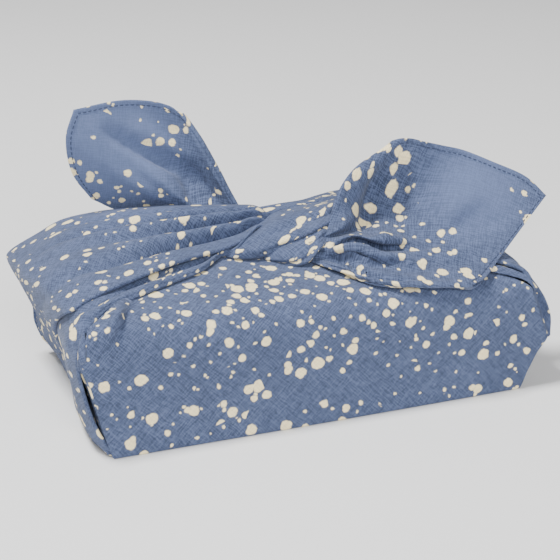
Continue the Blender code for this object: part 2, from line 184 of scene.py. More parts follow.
PANEL_RIGHT = (
    Across((108, -66, 1.5), (112, -40, 1.5), (112, 30, 1.5), (107, 68, 1.5)),
    Across((116, -66, 14), (119, -40, 14), (119, 30, 14), (114, 70, 14)),
    Across((132, -63, 27), (128, -40, 28), (122, 30, 28), (117, 70, 28)),
    Across((133, -61, 36), (129, -40, 40), (124, 30, 42), (122, 70, 42)),
    Across((127.5, -63, 48), (126, -40, 52), (125, 28, 55), (126, 69, 54)),
    Across((118.5, -66, 59), (121, -42, 61), (121, 24, 67), (121, 68, 63)),
    Across((115, -60.5, 64.3), (113, -40, 68.5), (109, 18, 75), (108, 66, 71)),
    Across((98, -51.5, 69.2), (96, -32, 75.5), (95, 16, 82), (93, 62, 77)),
    Across((82, -43, 69), (79, -25, 76), (78, 16, 83), (76, 56, 79)),
    Across((64, -34, 70), (61, -18, 77), (60, 16, 85), (57, 48, 83)),
    Across((48, -25, 71), (45, -12, 79), (43, 15, 87), (41, 38, 85)),
    Across((34, -16, 72), (31, -6, 79), (28, 14, 86), (26, 28, 86.5)),
    Across((22, -9, 72), (19, 0, 78), (15, 13, 85), (12, 25, 87)),
    Across((8, -6, 70), (6, 2, 76), (1, 13, 83), (-4, 24, 86)),
)
TUCK_RIGHT = (
    Across((128.3, -68.6, 27), (129.2, -67.8, 27), (130.3, -66.6, 27), (131, -63, 27)),
    Across((125.5, -65.2, 36), (127.6, -63.8, 36), (130.6, -65.4, 36), (131.8, -62, 36)),
    Across((122.6, -64.8, 44), (124.9, -63.2, 44), (128, -65.2, 44), (129.2, -62, 45)),
    Across((119.8, -65.6, 51), (121.4, -64.2, 51), (123.6, -65.6, 51.5), (124.4, -63, 52)),
    Across((117.4, -68, 56), (118, -67.2, 57), (118.4, -65.8, 57.8), (117, -62, 58)),
    Across((113, -66, 60), (113.4, -65, 61.6), (113, -63.4, 62.8), (110, -58, 61.5)),
    Across((105, -62.5, 62.5), (105.4, -61.3, 65), (105, -58.5, 66), (102, -53, 65.5)),
    Across((96, -57.5, 64), (96.5, -56.3, 66.6), (96, -53, 67.8), (93, -46, 66.5)),
    Across((84, -50.5, 65), (84.5, -48.8, 68.2), (84, -45, 69.4), (81, -38, 68)),
    Across((66, -42, 66), (66.5, -40, 70.5), (66, -36, 72), (63, -29, 71)),
)

# The strand that crosses over the middle of the knot, from under the left gather up to the
# right, the roll of the other strand that comes out below it, and the small fold between.
BAND = (
    Across((-40, 4, 68), (-38, 0, 74), (-30, 4, 79), (-20, 12, 80)),
    Across((-33, -5, 70), (-32, -10, 75), (-25, -5, 79), (-14, 5, 81)),
    Across((-28, -11, 70.5), (-28, -16, 75.5), (-22, -10, 81), (-12, 3, 83)),
    Across((-19, -14.5, 70), (-20, -19.5, 76.5), (-14, -11, 83.5), (-5, 5, 86)),
    Across((-11, -15, 71), (-12, -19.5, 78), (-7, -9, 86.5), (1, 9, 87.5)),
    Across((-3, -17, 74), (-4, -19.5, 80.5), (2, -8, 89), (9, 11, 88.5)),
    Across((7, -20, 77.5), (7, -20.5, 83.5), (13, -7, 91), (21, 14, 88.5)),
    Across((19, -18, 81), (20, -17.5, 86.5), (27, -4, 92), (36, 17, 88.5)),
    Across((32, -10, 82), (34, -8.5, 87.5), (42, 5, 92), (51, 23, 88)),
    Across((46, 4, 80), (49, 6, 84), (55, 15, 88), (61, 27, 85)),
)
ROLL = (
    Across((-14, -16, 70), (-14, -18, 73), (-10, -14, 77), (-4, -6, 78)),
    Across((-5, -25, 71), (-5, -27, 74.5), (-2, -22, 79), (3, -12, 80)),
    Across((1, -28, 71.5), (1, -29.5, 75), (5, -24.5, 80.5), (10, -13, 82)),
    Across((7, -28, 73.5), (7, -29, 77), (11, -24.5, 82), (16, -14, 84)),
    Across((13, -26, 75.5), (13, -27, 79), (17, -22, 84), (22, -13, 85)),
    Across((20, -22, 75), (20, -23, 78), (23, -19, 82.5), (27, -12, 82)),
    Across((27, -17, 74), (27, -18, 76.5), (29, -15, 80), (32, -10, 80)),
)
PINCH = (
    Across((-7, -24.5, 68), (-7.2, -25, 69.4), (-8, -24, 70), (-8.6, -22, 70)),
    Across((-2, -28, 69.4), (-2.2, -28.8, 70.8), (-3, -28, 71.8), (-3.6, -26, 72)),
    Across((2.6, -29.6, 70.4), (2.4, -30.6, 71.8), (1.2, -29.8, 73), (0.4, -28, 73.4)),
    Across((6, -30.2, 71.8), (6, -31.2, 73.2), (5.4, -30.4, 74.6), (5, -28, 75)),
    Across((8.7, -30.3, 74.4), (8.8, -31.3, 75.7), (8.4, -30.4, 76.9), (8.2, -28, 77.3)),
    Across((11.6, -29.6, 77), (11.6, -30.4, 78.2), (11.4, -29.6, 79.2), (11.2, -27.5, 79.6)),
    Across((15, -27.5, 78.6), (15, -28.3, 79.8), (14.8, -27.5, 80.6), (14.6, -26, 81)),
)

# The free ends. Each row is one fold that runs from the knot out to the edge of the cloth.
Rib = namedtuple("Rib", "root near middle far rim")
EAR_RIGHT = (
    Rib((12, -18, 79), (22.5, -15, 86), (30, -12, 100.5), (41.5, -9, 113.5), (61.5, -8, 125)),
    Rib((14, -20, 80), (26.5, -18, 87), (37.1, -11.5, 96.6), (47.7, -10.5, 111), (65, -12, 127)),
    Rib((16, -21, 81), (29.5, -21, 85.2), (46, -7.5, 90.5), (54.2, -8, 106.4), (70.5, -14, 127)),
    Rib((18, -22, 81), (35, -15, 80.2), (46.5, -11.8, 81.2), (54.8, -6, 93.5), (76.5, -17, 125.5)),
    Rib((19.5, -24, 80), (31.5, -29, 83.4), (44, -33, 82.2), (64.8, -11.5, 86.1), (86, -19, 123)),
    Rib((20, -26, 79), (31, -31, 83), (46, -37, 80.5), (71.3, -25, 83.3), (97.5, -22, 120)),
    Rib((19, -27, 77.5), (33.3, -27, 78.6), (50.6, -32, 75.3), (75.5, -37, 81), (112.5, -27, 113.5)),
    Rib((17.5, -28.5, 76.5), (27.5, -38, 80), (45, -45, 76), (81, -42, 79.5), (130, -32, 105)),
    Rib((15.5, -29, 75.5), (26, -40, 76.5), (44, -49, 73), (86, -46, 77), (140.5, -37, 94.5)),
    Rib((13.5, -29, 74), (26, -39, 73.5), (43.5, -51, 70.5), (85.5, -52, 71), (124, -44, 82.5)),
    Rib((11, -28.5, 72.5), (20.5, -44, 72), (39, -58, 69.5), (75.5, -60, 67.5), (105.5, -53, 70)),
    Rib((9.5, -28, 71.8), (19, -43.5, 70.8), (35.5, -59.5, 69), (66, -66, 66.6), (89, -66.5, 65.2)),
    Rib((8, -27, 71), (17, -43, 69.5), (31.5, -60, 68.5), (54.5, -69, 66.2), (79.5, -71, 63.6)),
)
EAR_LEFT = (
    Rib((-6, 24, 78.5), (-14, 31, 90.5), (-19, 36, 104), (-25, 42, 118), (-35, 48, 134)),
    Rib((-10, 26, 78), (-17, 34, 93), (-23.5, 40, 106.5), (-30.5, 46, 121), (-40, 52, 139)),
    Rib((-14.5, 28, 78), (-21.5, 41, 91), (-30, 49, 106), (-40.5, 55, 121), (-50.5, 57, 142)),
    Rib((-18, 30, 78), (-28, 41, 91.5), (-38.5, 50, 105), (-51.5, 56, 119), (-67.5, 60, 143)),
    Rib((-22, 32, 78), (-37, 38, 89.5), (-51, 44, 102.5), (-67.5, 53, 117.5), (-91, 61, 140)),
    Rib((-26, 35, 77), (-41.5, 43, 86.5), (-57, 47, 94.5), (-74, 54, 106.5), (-96.5, 59, 125)),
    Rib((-30, 39, 76), (-44.5, 49, 82), (-58.5, 55, 86.5), (-75, 60, 93.5), (-93.5, 61, 105.5)),
    Rib((-34, 44, 75), (-46, 55, 77), (-58, 61, 79), (-70, 64, 81), (-82, 66, 88)),
)

# Soft troughs (and ridges, below nought) of the free ends. Each runs through three places,
# given as the rib and the share of the way from the knot to the edge.
Crease = namedtuple("Crease", "first middle last depth width")
CREASES_RIGHT = (
    Crease((2.2, 0.69), (2.6, 0.57), (2.9, 0.40), 4.6, 4.5),
    Crease((2.9, 0.78), (3.8, 0.64), (4.4, 0.50), 3.0, 3.0),
    Crease((4.0, 0.28), (4.7, 0.35), (6.0, 0.45), -2.4, 3.0),
    Crease((5.6, 0.16), (6.0, 0.30), (6.7, 0.44), 2.0, 2.6),
    Crease((6.8, 0.08), (7.1, 0.24), (8.9, 0.44), -3.0, 3.2),
    Crease((8.1, 0.08), (7.8, 0.18), (8.1, 0.34), 5.2, 2.4),
    Crease((8.8, 0.09), (9.6, 0.24), (10.6, 0.52), 4.4, 2.4),
    Crease((7.5, 0.72), (6.9, 0.63), (6.0, 0.49), 4.4, 8.0),
)
CREASES_LEFT = (
    Crease((3.8, 0.78), (3.5, 0.66), (3.1, 0.50), 5.2, 3.6),
    Crease((2.9, 0.78), (2.5, 0.67), (2.1, 0.54), -3.0, 6.0),
    Crease((3.0, 0.62), (2.8, 0.44), (3.5, 0.26), 5.0, 4.6),
    Crease((4.1, 0.62), (4.4, 0.48), (4.4, 0.34), 1.2, 5.0),
    Crease((3.6, 0.66), (3.6, 0.50), (3.9, 0.34), -1.2, 5.0),
)

# Both free ends: their ribs, the rib that ends at the tip, their creases, the place of the
# tip on the flat cloth, and the seed of their slight waves.
End = namedtuple("End", "ribs tip creases start seed")
ENDS = (
    End(EAR_RIGHT, 8, CREASES_RIGHT, (-290.0, 290.0), 13),
    End(EAR_LEFT, 4, CREASES_LEFT, (290.0, 290.0), 17),
)

# Pleats that run along a fold towards the knot: where each crease lies across the fold at
# the end of the parcel and at the knot, how deep it is at the knot, and where it starts.
Pleat = namedtuple("Pleat", "end_share knot_share depth start")
PLEATS_PANEL_LEFT = (
    Pleat(0.22, 0.30, 11.0, 0.26),
    Pleat(0.42, 0.52, 9.0, 0.38),
    Pleat(0.58, 0.68, 11.0, 0.32),
    Pleat(0.80, 0.84, 7.0, 0.36),
)
PLEATS_PANEL_RIGHT = (
    Pleat(0.20, 0.26, 4.0, 0.30),
    Pleat(0.42, 0.50, 4.0, 0.40),
    Pleat(0.72, 0.75, 4.0, 0.40),
)
PLEATS_STRIP = (
    Pleat(0.66, 0.60, 4.0, 0.05),
)
PLEATS_BAND = (
    Pleat(0.28, 0.22, 2.0, 0.15),
    Pleat(0.60, 0.52, 2.4, 0.10),
)
PLEATS_ROLL = (
    Pleat(0.55, 0.60, 1.6, 0.30),
)
PLEATS_PINCH = (
    Pleat(0.52, 0.52, 1.0, -0.60),
)

# Every fold that lies over the box: its sections and pleats, how many columns and rows it
# has, the width of cloth gathered into it, its place on the flat cloth, the height of its
# slight waves, the radius of its edge against a pressed fold's, and how its far edge ends.
Fold = namedtuple("Fold", "rows pleats across down width start wave roll far")
FOLDS = (
    Fold(PANEL_LEFT, PLEATS_PANEL_LEFT, 101, 130, 120.0, (-260.0, 30.0), 0.5, 1.0, "fallen"),
    Fold(STRIP_LEFT, PLEATS_STRIP, 29, 120, 34.0, (-250.0, -60.0), 0.2, 0.8, "bare"),
    Fold(LENS_LEFT, (), 21, 70, 12.0, (-240.0, -110.0), 0.0, 0.4, "bare"),
    Fold(PANEL_RIGHT, PLEATS_PANEL_RIGHT, 81, 110, 120.0, (200.0, 40.0), 0.5, 1.0, "fallen"),
    Fold(TUCK_RIGHT, (), 21, 80, 20.0, (210.0, -60.0), 0.0, 0.4, "bare"),
    Fold(BAND, PLEATS_BAND, 61, 80, 46.0, (330.0, 10.0), 0.3, 1.0, "turned"),
    Fold(ROLL, PLEATS_ROLL, 41, 50, 24.0, (300.0, -80.0), 0.15, 0.8, "turned"),
    Fold(PINCH, PLEATS_PINCH, 25, 40, 10.0, (280.0, -90.0), 0.0, 0.3, "bare"),
)

# Layers of cloth hidden under the gathers: how high each lies, and its first and second edge
# across the box, as shares of the box's half length and half width.
Flap = namedtuple("Flap", "z first_x first_y second_x second_y")
FLAPS = (
    Flap(61.0, 1.0, 1.0, 0.6, -1.0),
    Flap(59.8, 0.95, 1.0, 0.55, -0.8),
    Flap(58.6, 0.9, -1.0, 0.4, 0.7),
)

# The layers of the spatter: how far apart its spots lie, their least and greatest radius,
# the share of places that hold one, and how far the layer is moved over the cloth.
Spots = namedtuple("Spots", "apart least greatest share shift")
SPATTER = (
    Spots(15.0, 2.1, 3.4, 0.44, 0.0),
    Spots(13.0, 1.5, 3.0, 0.38, 31.7),
    Spots(11.0, 1.3, 2.1, 0.50, 83.1),
    Spots(9.0, 0.8, 1.3, 0.42, 127.9),
    Spots(7.0, 0.45, 0.85, 0.36, 161.3),
)
SPOT_EDGE = 0.7

# Where the spatter falls thicker or thinner: the middle of each cluster, how far it spreads,
# and how much thicker it is there.
Cluster = namedtuple("Cluster", "x y z spread gain")
CLUSTERS = (
    Cluster(-40, -32, 68, 24, 0.55),
    Cluster(-23, -10, 82, 9, -1.2),
    Cluster(-52, -25, 77, 13, -0.5),
    Cluster(-12, 3, 86, 8, -1.0),
    Cluster(-8, -50, 67, 26, 0.6),
    Cluster(28, -62, 66, 20, 0.3),
    Cluster(-52, -70, 46, 20, 0.5),
    Cluster(-62, -70, 20, 18, 0.3),
    Cluster(95, -70, 35, 30, -0.2),
    Cluster(-90, 20, 80, 40, -0.25),
    Cluster(-47, 55, 129, 13, 0.9),
    Cluster(-72, 60, 94, 11, 0.9),
    Cluster(-78, 60, 114, 13, -0.9),
    Cluster(-46, 50, 106, 11, -0.7),
    Cluster(65, -18, 117, 12, 0.9),
    Cluster(70, -40, 72, 12, 0.9),
    Cluster(102, -28, 100, 28, -1.2),
)

# Painted light: where the cloth hangs free, its colour is made lighter to stand in for the light
# that comes through it, in the same columns.
PAINTED_LIGHT_THROUGH = (
    Cluster(103, -28, 103, 34, 1.35),
    Cluster(-70, 60, 120, 40, 1.9),
)


class WrapSizes(bpy.types.PropertyGroup):
    """Sizes of the wrapped box, the cloth and its sewing"""

    half_length: bpy.props.FloatProperty(
        name="Half length", description="Half the long side of the wrapped box",
        default=0.110, unit="LENGTH")
    half_width: bpy.props.FloatProperty(
        name="Half width", description="Half the short side of the wrapped box",
        default=0.0695, unit="LENGTH")
    height: bpy.props.FloatProperty(
        name="Height", description="Height of the wrapped box",
        default=0.063, unit="LENGTH")
    top_fall: bpy.props.FloatProperty(
        name="Top fall", description="How much lower the top is at the right end than halfway",
        default=0.0025, unit="LENGTH")
    cloth_side: bpy.props.FloatProperty(
        name="Cloth side", description="Side of the square cloth, hem to hem",
        default=0.59, unit="LENGTH")
    fold_radius: bpy.props.FloatProperty(
        name="Fold radius", description="Radius of a pressed fold",
        default=0.0012, unit="LENGTH")
    curl_radius: bpy.props.FloatProperty(
        name="Curl radius", description="Radius of the loose folds beside the free ends",
        default=0.0014, unit="LENGTH")
    hem_width: bpy.props.FloatProperty(
        name="Hem width", description="Width of the turned hem",
        default=0.0032, unit="LENGTH")
    stitch_inset: bpy.props.FloatProperty(
        name="Stitch inset", description="How far the stitching lies inside the edge",
        default=0.0022, unit="LENGTH")
    stitch_pitch: bpy.props.FloatProperty(
        name="Stitch pitch", description="Length of one stitch with its gap",
        default=0.0029, unit="LENGTH")
    thread_width: bpy.props.FloatProperty(
        name="Thread width", description="Width of the sewing thread as it lies",
        default=0.00062, unit="LENGTH")


class WrapColours(bpy.types.PropertyGroup):
    """Colours of the cloth, its thread and the floor"""

    blue: bpy.props.FloatVectorProperty(
        name="Blue", description="Colour of the dyed cloth",
        subtype="COLOR", size=3, default=(0.074, 0.098, 0.180))
    cream: bpy.props.FloatVectorProperty(
        name="Cream", description="Colour of the spatter",
        subtype="COLOR", size=3, default=(0.98, 0.83, 0.51))
    thread: bpy.props.FloatVectorProperty(
        name="Thread", description="Colour of the sewing thread",
        subtype="COLOR", size=3, default=(0.020, 0.030, 0.065))
    floor: bpy.props.FloatVectorProperty(
        name="Floor", description="Colour of the studio floor",
        subtype="COLOR", size=3, default=(0.84, 0.84, 0.84))


def along(points, count):
    """Points at even steps on a smooth curve through the given ones."""
    given = np.asarray(points, float)
    padded = np.vstack([2 * given[0] - given[1], given, 2 * given[-1] - given[-2]])
    steps = np.linspace(0.0, len(given) - 1.0, count)
    cell = np.minimum(steps.astype(int), len(given) - 2)
    t = (steps - cell)[:, None]
    a, b, c, d = (padded[cell + k] for k in range(4))
    return 0.5 * (2 * b + (c - a) * t + (2 * a - 5 * b + 4 * c - d) * t**2
                  + (3 * b - a - 3 * c + d) * t**3)


def grid(rows, across, down):
    """A smooth grid of points through a table of sections, down by across."""
    fine = np.array([along(row, across) for row in rows])
    return np.stack([along(fine[:, k], down) for k in range(across)], axis=1)


def unit(vectors):
    """The same directions with length one."""
    return vectors / np.maximum(np.linalg.norm(vectors, axis=-1, keepdims=True), 1e-9)


def distances(points):
    """How far each point is from the first, along a line or along each row of a grid."""
    steps = np.linalg.norm(np.diff(points, axis=-2), axis=-1)
    return np.concatenate([np.zeros(steps.shape[:-1] + (1,)), np.cumsum(steps, axis=-1)], axis=-1)


def points_at(where, run, line):
    """The points of a line at the given distances along it."""
    return np.stack([np.interp(where, run, line[:, axis]) for axis in range(3)], axis=-1)


def diagonal(a, b):
    """Flat-cloth coordinates of places measured along the cloth's two diagonals."""
    return np.stack([(a - b) * HALF_ROOT, (a + b) * HALF_ROOT], axis=-1)


def facing(face, away):
    """The normal at each point of a grid, on the side that away points to."""
    normal = unit(np.cross(np.gradient(face, axis=1), np.gradient(face, axis=0)))
    return normal if np.sum(normal * away) > 0 else -normal


def smooth(value, low, high):
    """0 below low, 1 above high and a soft rise between them."""
    share = np.clip((value - low) / (high - low), 0.0, 1.0)
    return share * share * (3.0 - 2.0 * share)


def ripple(shares, waves, seed):
    """Soft uneven waves across a fold, between -1 and 1."""
    dice = np.random.default_rng(seed)
    total = np.zeros_like(shares)
    for _ in range(waves):
        total += np.cos(math.tau * shares * dice.uniform(1.5, 5.5) + dice.uniform(0, math.tau))
    return total / waves


def sinks(shares, pleats, down_share, width):
    """How far each point of a section lies below the fold's smooth back.

    A pleat gets shallower where the section is too narrow for its depth.
    """
    stops = np.array([0.0] + [p.end_share + (p.knot_share - p.end_share) * down_share
                              for p in pleats] + [1.0])
    room = 0.4 * width * smooth(width, 5.0, 18.0) * (stops[2:] - stops[:-2])
    deep = np.array([p.depth * smooth(down_share, p.start, 0.85) for p in pleats])
    depths = np.concatenate([[0.0], np.minimum(deep, room), [0.0]])
    depth = np.interp(shares, stops, depths)
    cell = np.clip(np.searchsorted(stops, shares, side="right") - 1, 0, len(stops) - 2)
    phase = (shares - stops[cell]) / (stops[cell + 1] - stops[cell])
    first = (cell == 0) & (phase < 0.5)
    last = (cell == len(stops) - 2) & (phase > 0.5)
    hump = np.where(first | last, 1.0, np.sin(np.pi * np.clip(phase, 0.0, 1.0)) ** 1.1)
    return depth * (1.0 - hump)


def column(radius, rows):
    """A radius, or one for each row, as a column."""
    return np.broadcast_to(np.asarray(radius, float), rows)[:, None]


def turned(points, flat, normal, radius, under, first, short=0.0):
    """The extra columns of a fold's edge: it rolls under and runs back inside the fold."""
    order = slice(None) if first else slice(None, None, -1)
    points, flat, normal = points[:, order], flat[:, order], normal[:, order]
    radius = column(radius, len(points))
    edge, mark = points[:, 0], flat[:, 0]
    out = unit(edge - points[:, 2])
    up = unit(normal[:, 0] - out * np.sum(normal[:, 0] * out, axis=-1, keepdims=True))
    step = unit(mark - flat[:, 2])
    columns, marks = [], []
    for angle in np.linspace(0.0, np.pi, 8)[1:]:
        columns.append(edge - up * radius * (1.0 - np.cos(angle)) + out * radius * np.sin(angle))
        marks.append(mark + step * radius * angle)
    run = distances(points).mean(axis=0)
    last = min(int(np.searchsorted(run, under)), int(0.45 * len(run)))
    for k in range(2, last + 1, 2):
        columns.append(points[:, k] - normal[:, k] * 2.0 * radius - short)
        marks.append(mark + step * (radius * np.pi + run[k]))
    if first:
        columns, marks = columns[::-1], marks[::-1]
    return np.stack(columns, axis=1), np.stack(marks, axis=1)


def fallen(points, flat, normal, sizes, radius):
    """The extra columns of a high far edge: it drapes back down on to the box."""
    edge, mark = points[:, -1], flat[:, -1]
    out = unit(edge - points[:, -3])
    step = unit(mark - flat[:, -3])
    half_y = sizes.half_width / MM
    shares = np.linspace(0.0, 1.0, len(edge))
    wall_top, roof = 56.0, 66.0
    over_top = smooth(edge[:, 2], wall_top, roof)[:, None]
    reach_at_end, reach_at_knot = 14.0, 6.0
    land = edge[:, 1] + reach_at_end + (reach_at_knot - reach_at_end) * shares
    land = np.minimum(land, half_y - 0.5)
    box_top = np.interp(half_y - land, [level.inset for level in TOP_LEVELS],
                        [level.z for level in TOP_LEVELS])
    radius = column(radius, len(points))
    reach = np.maximum((land - edge[:, 1])[:, None], radius)
    reach = reach * over_top + radius * (1.0 - over_top)
    drop = np.maximum((edge[:, 2] - box_top + 1.0)[:, None], radius)
    drop = drop * over_top + 2.0 * radius * (1.0 - over_top)
    drop *= 1.0 - 0.75 * smooth(shares, 0.82, 1.0)[:, None] ** 2
    out = unit(out * (1.0 - over_top) + np.array([0.0, 1.0, 0.0]) * over_top)
    down = unit(-normal[:, -1] * (1.0 - over_top) - np.array([0.0, 0.0, 1.0]) * over_top)
    columns, marks = [], []
    for angle in np.linspace(0.0, np.pi / 2.0, 17)[1:]:
        columns.append(edge + out * reach * np.sin(angle) + down * drop * (1.0 - np.cos(angle)))
        marks.append(mark + step * (reach + drop) * angle / 1.9)
    return np.stack(columns, axis=1), np.stack(marks, axis=1)


def drawn_in(points, radius, first):
    """A fold's grid drawn in at one edge, so that its roll comes no further out."""
    order = slice(None) if first else slice(None, None, -1)
    points = points[:, order]
    run = distances(points).mean(axis=0)
    fade = min(12.0, 0.35 * run[-1])
    weight = np.clip(1.0 - run / fade, 0.0, 1.0) ** 2
    out = unit(points[:, 0] - points[:, 3]) * column(radius, len(points))
    return (points - out[:, None, :] * weight[None, :, None])[:, order]


def add_turned(points, flat, normal, radius, far="turned", sizes=None, short=0.0):
    """A fold's grid with its near edge turned under and its far edge finished."""
    points = drawn_in(points, radius, True)
    if far == "turned":
        points = drawn_in(points, radius, False)
    parts = [turned(points, flat, normal, radius, TURN_UNDER, True, short), (points, flat)]
    if far == "turned":
        parts.append(turned(points, flat, normal, radius, TURN_UNDER, False, short))
    elif far == "fallen":
        parts.append(fallen(points, flat, normal, sizes, radius))
    return tuple(np.concatenate(pieces, axis=1) for pieces in zip(*parts))


def strand_marks(points, width, start):
    """Flat-cloth coordinates of a strand: along it, and across the width it was cut to."""
    run = distances(points[:, points.shape[1] // 2])
    across = distances(points)
    total = across[:, -1:]
    across = across / total * (0.45 * width + 0.55 * total) - 0.5 * width
    return diagonal(start[0] + run[:, None], start[1] + across)


def strand(fold, seed):
    """Points, flat coordinates and normals of one fold of the cloth."""
    plain = grid(fold.rows, fold.across, fold.down)
    away = plain - PARCEL_MIDDLE
    normal = facing(plain, away)
    widths = distances(plain)[:, -1]
    shares = np.linspace(0.0, 1.0, fold.across)
    fade = smooth(shares, 0.0, 0.12) * smooth(1.0 - shares, 0.0, 0.12)
    face = plain.copy()
    for row, down_share in enumerate(np.linspace(0.0, 1.0, fold.down)):
        sink = sinks(shares, fold.pleats, down_share, widths[row])
        swell = ripple(shares + 0.15 * down_share, 2, seed) * fold.wave * fade
        face[row] -= normal[row] * (sink - swell)[:, None]
    return face, strand_marks(plain, fold.width, fold.start), facing(face, away)


def tilt(x, sizes):
    """How much a height grows or shrinks at x, because the top falls to the right."""
    return 1.0 - sizes.top_fall / sizes.height * x / (sizes.half_length / MM)


def corner_fold(stand, level, half_y):
    """A corner fold of the box: how far it stands out, its radius and the angle it turns."""
    folded = float(smooth(stand, 0.0, 4.0))
    radius = min(0.35 + 0.55 * folded + 0.3 * max(level.inset - 13.0, 0.0), 0.6 * half_y)
    return stand, radius, 0.5 * np.pi * (1.0 + folded)


def body_outline(level, sizes):
    """One closed outline of the wrapped box, its corner folds rounded."""
    length, width = sizes.half_length / MM, sizes.half_width / MM
    half_x, half_y = length - level.inset, width - level.inset
    stands = (level.front_left, level.front_right, level.back_right, level.back_left)
    corners = [corner_fold(stand, level, half_y) for stand in stands]
    even = np.linspace(0.0, 1.0, PER_SIDE)
    crowded = 0.45 * even + 0.275 * (1.0 - np.cos(np.pi * even))
    ring, marks = [], []
    for first, last, after, side in ((0, 1, 2, -1.0), (2, 3, 0, 1.0)):
        stand, radius, _ = corners[first]
        start_x = side * (half_x + stand - radius)
        stand, radius, sweep = corners[last]
        end_x = -side * (half_x + stand - radius)
        for share in crowded:
            x = start_x + (end_x - start_x) * share
            ring.append((x, side * (half_y + level.belly * np.sin(np.pi * share))))
            marks.append(x if side < 0 else BACK_START - x)
        for angle in np.linspace(0.0, sweep, PER_TURN + 1)[1:]:
            ring.append((end_x - side * radius * np.sin(angle),
                         side * (half_y - radius + radius * np.cos(angle))))
            marks.append(marks[-1] + CORNER_TAKE)
        near_y = half_y - radius + radius * np.cos(sweep)
        pulled = min(stand, 0.0)
        wall = half_x + min(1.0, max(stand, 0.0))
        stand, radius, sweep = corners[after]
        far_y = half_y - radius + radius * np.cos(sweep)
        for share in np.linspace(0.0, 1.0, PER_END + 2)[1:-1]:
            x = wall + pulled * (1.0 - share) ** 2
            ring.append((-side * x, side * (near_y - (near_y + far_y) * share)))
            marks.append((length if side < 0 else BACK_START - length) + share * 2.0 * width)
        next_x = -side * (half_x + stand - radius)
        for angle in np.linspace(sweep, 0.0, PER_TURN + 1)[:-1]:
            ring.append((next_x - side * radius * np.sin(angle),
                         -side * (half_y - radius + radius * np.cos(angle))))
            marks.append(marks[-1] + CORNER_TAKE)
    outline = np.array(ring)
    return np.column_stack([outline, level.z * tilt(outline[:, 0], sizes)]), np.array(marks)


def beside(face, table, sizes):
    """How far each point lies past a corner's line, and the table's height at its level."""
    level = face[..., 2] / tilt(face[..., 0], sizes)
    z, x, height = np.array(table).T
    return face[..., 0] - np.interp(level, z, x), np.interp(level, z, height)


def corner_hollow(face, sizes):
    """How the front cloth turns in at its right edge, in front of the tuck, as an offset."""
    aside, depth = beside(face, CORNER_HOLLOW, sizes)
    sink = depth * smooth(aside, -0.5, 2.5) * smooth(-face[..., 1], 40.0, 60.0)
    return sink[..., None] * np.array([-0.3, 1.0, 0.0])


def corner_lift(face, sizes):
    """How the front cloth stands up at its top left corner, as an offset of each point."""
    aside, height = beside(face, CORNER_RIDGE, sizes)
    lift = height * (1.0 - smooth(aside, -0.3, 2.8)) * (1.0 - 0.6 * smooth(-aside, 1.0, 12.0))
    lift *= smooth(-face[..., 1], 0.0, 12.0)
    return lift[..., None] * np.array([0.0, -0.6, 0.8])


def body_patch(sizes):
    """Points and flat coordinates of the cloth flat round the box, base to top."""
    rings, marks = (np.array(item) for item in
                    zip(*[body_outline(level, sizes) for level in BODY]))

    def stacked(table):
        """A table's rows from base to top at even steps, the foot closer than the walls."""
        rows = table.reshape(len(BODY), -1)
        dense = np.concatenate([along(rows[:3], FOOT_ROWS)[:-1], along(rows[2:], WALL_ROWS)])
        return dense.reshape(-1, *table.shape[1:])

    face, mark = stacked(rings), stacked(marks)
    height = np.repeat(distances(face[:, PER_SIDE // 2])[:, None], face.shape[1], axis=1)
    face = face + corner_lift(face, sizes) + corner_hollow(face, sizes)
    base = face[0]
    centre = base.mean(axis=0)
    shares = np.array(BASE_SHARES)[:, None]
    face = np.concatenate([centre + (base - centre) * shares[..., None], face])
    below = np.repeat(-(1.0 - shares) * BASE_REACH, face.shape[1], axis=1)
    height = np.concatenate([below, height])
    mark = np.concatenate([np.repeat(mark[:1], len(shares), axis=0), mark])
    flat = diagonal(mark, height)
    face = np.concatenate([face, face[:, :1]], axis=1)
    flat = np.concatenate([flat, flat[:, -1:] + CORNER_TAKE], axis=1)
    return face, flat


def ear_face(ribs, tip, hem):
    """A free end from the knot out to its edge, closely spaced over the hem."""
    dense = 180
    curves = []
    for rib in ribs:
        root, near = np.array(rib.root, float), np.array(rib.near, float)
        curves.append(along([root + (root - near) * 0.6, *rib], dense))
    curves = np.array(curves)
    count = RIB_STEPS * (len(ribs) - 1) + 1
    split = RIB_STEPS * tip
    soft, crisp = [], []
    for k in range(dense):
        soft.append(along(curves[:, k], count))
        crisp.append(np.concatenate([along(curves[:tip + 1, k], split + 1)[:-1],
                                     along(curves[tip:, k], count - split)]))
    weight = (np.linspace(0.0, 1.0, dense) ** 8)[None, :, None]
    face = np.stack(soft, axis=1) * (1.0 - weight) + np.stack(crisp, axis=1) * weight
    edge = unit(np.gradient(face[:, -1], axis=0))
    out = []
    for k, line in enumerate(face):
        run = distances(line)
        lean = np.linalg.norm(np.cross(unit(line[-1] - line[-6]), edge[k]))
        band = hem / max(lean, 0.55)
        inner = np.linspace(0.0, run[-1] - band, RUN_STEPS)
        outer = run[-1] - band + band * np.linspace(0.0, 1.0, HEM_STEPS + 1)[1:]
        out.append(points_at(np.concatenate([inner, outer]), run, line))
    return np.array(out)


def creased(face, normal, creases):
    """The free end with its soft troughs and ridges."""
    ribs, runs = face.shape[:2]
    dense = 40
    fade = np.sin(np.pi * np.linspace(0.08, 0.92, dense)) ** 0.7
    moved = np.zeros((ribs, runs))
    for crease in creases:
        path = along([crease.first, crease.middle, crease.last], dense)
        rows = np.clip(np.round(path[:, 0] * RIB_STEPS).astype(int), 0, ribs - 1)
        columns = np.clip(np.round(path[:, 1] * (runs - 1)).astype(int), 0, runs - 1)
        away = np.linalg.norm(face[:, :, None] - face[rows, columns][None, None], axis=3)
        near = np.exp(-((away / crease.width) ** 2)) * fade
        moved -= crease.depth * near.max(axis=2)
    return face + normal * moved[:, :, None]


